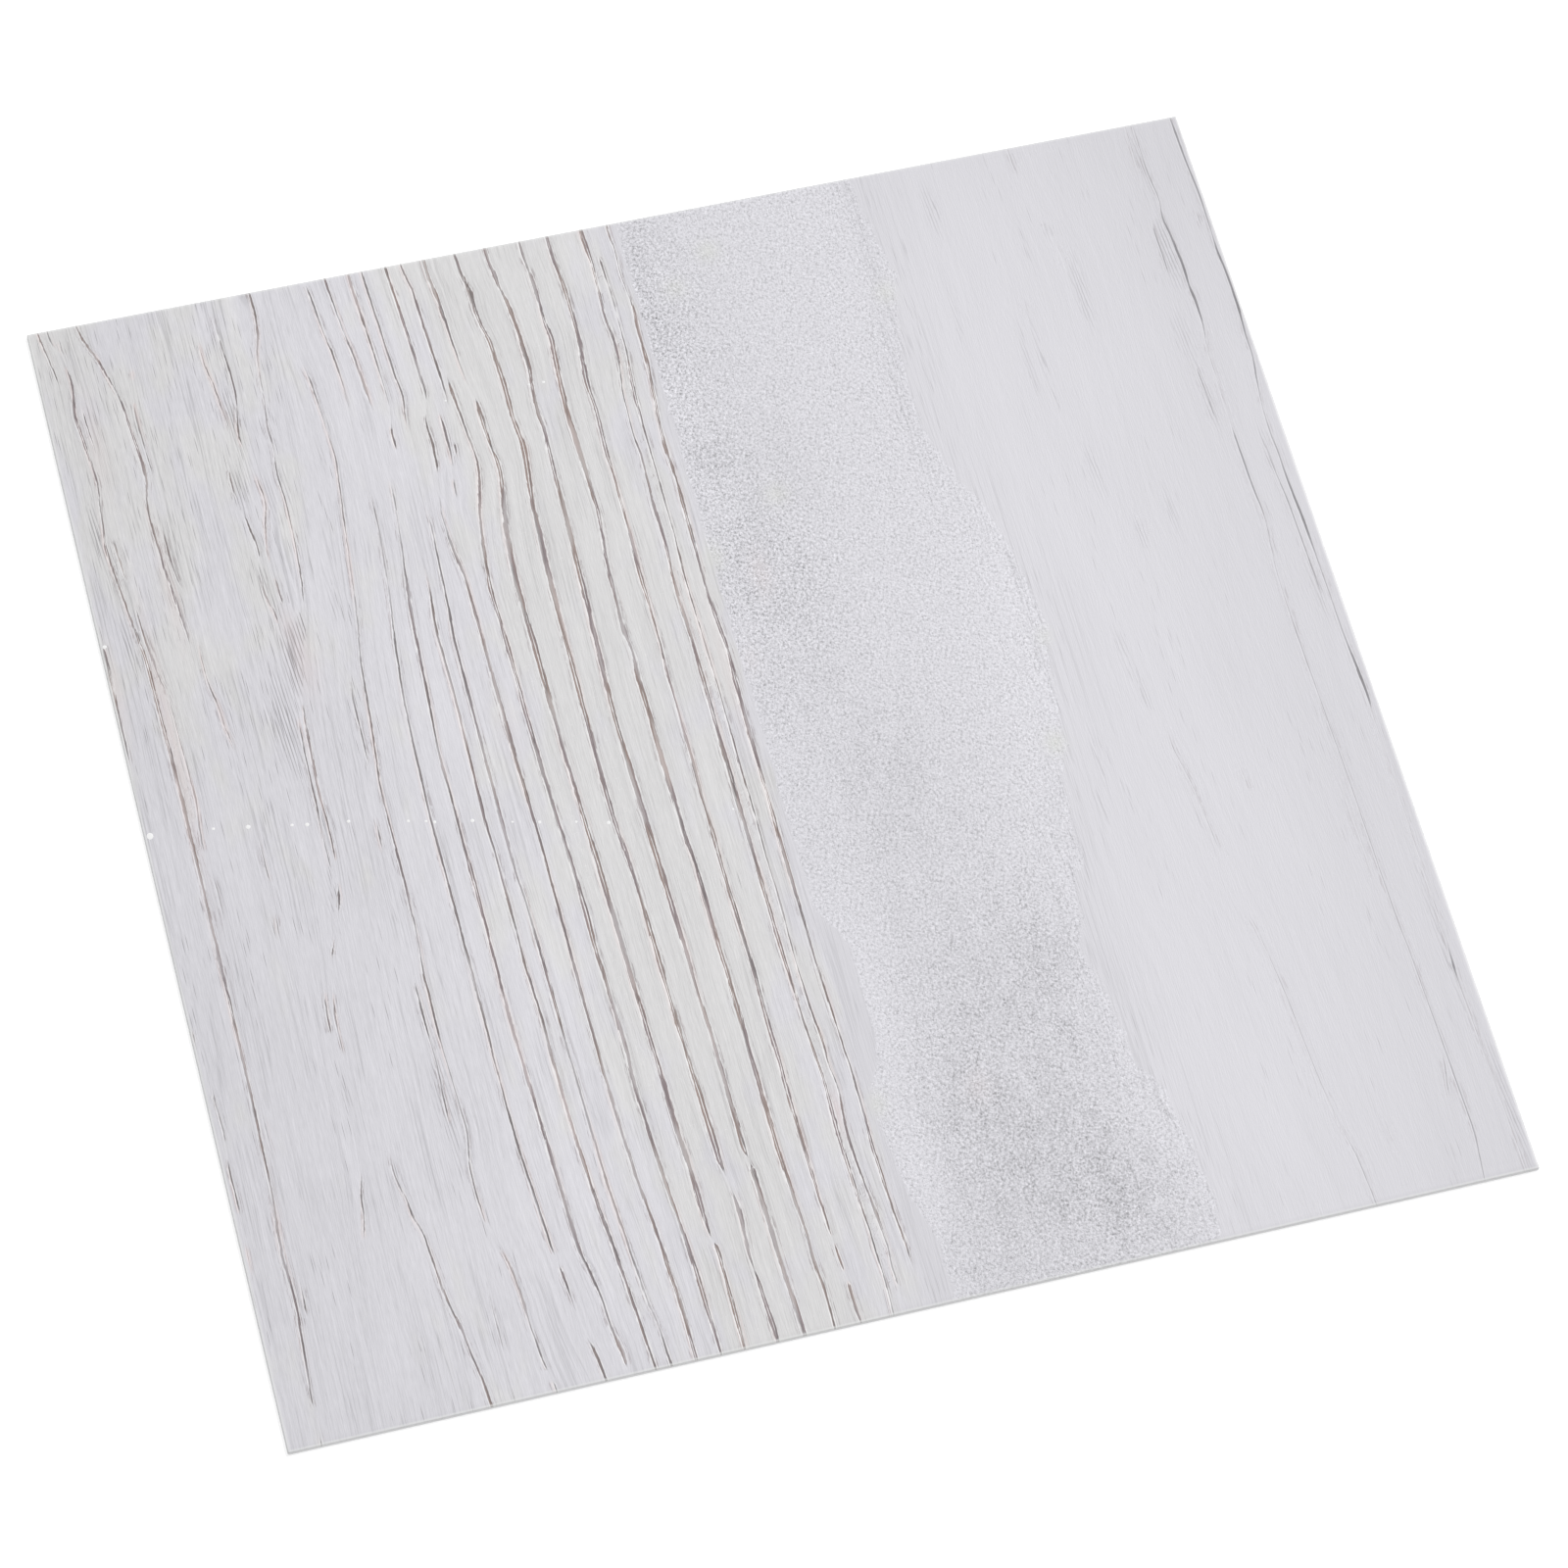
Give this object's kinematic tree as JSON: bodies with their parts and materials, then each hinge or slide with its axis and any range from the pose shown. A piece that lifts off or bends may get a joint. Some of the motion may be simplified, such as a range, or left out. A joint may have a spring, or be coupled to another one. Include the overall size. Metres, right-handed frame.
{
  "type": "vinyl floor tile",
  "caption": "Thin square resilient floor tile, printed as whitewashed worn wood, with plain butt edges and a rolled-over face rim.",
  "frame": {"origin": "centre of the back, on the floor that the tile lies on", "axes": "+Z out of the printed face, +Y along the printed wood grain, +X across it towards the plain pale board"},
  "size_m": [0.305, 0.305, 0.0012],
  "materials": {
    "printed_vinyl": "satin"
  },
  "bodies": {
    "root": {"vinyl_tile": "printed_vinyl"}
  },
  "joints": []
}
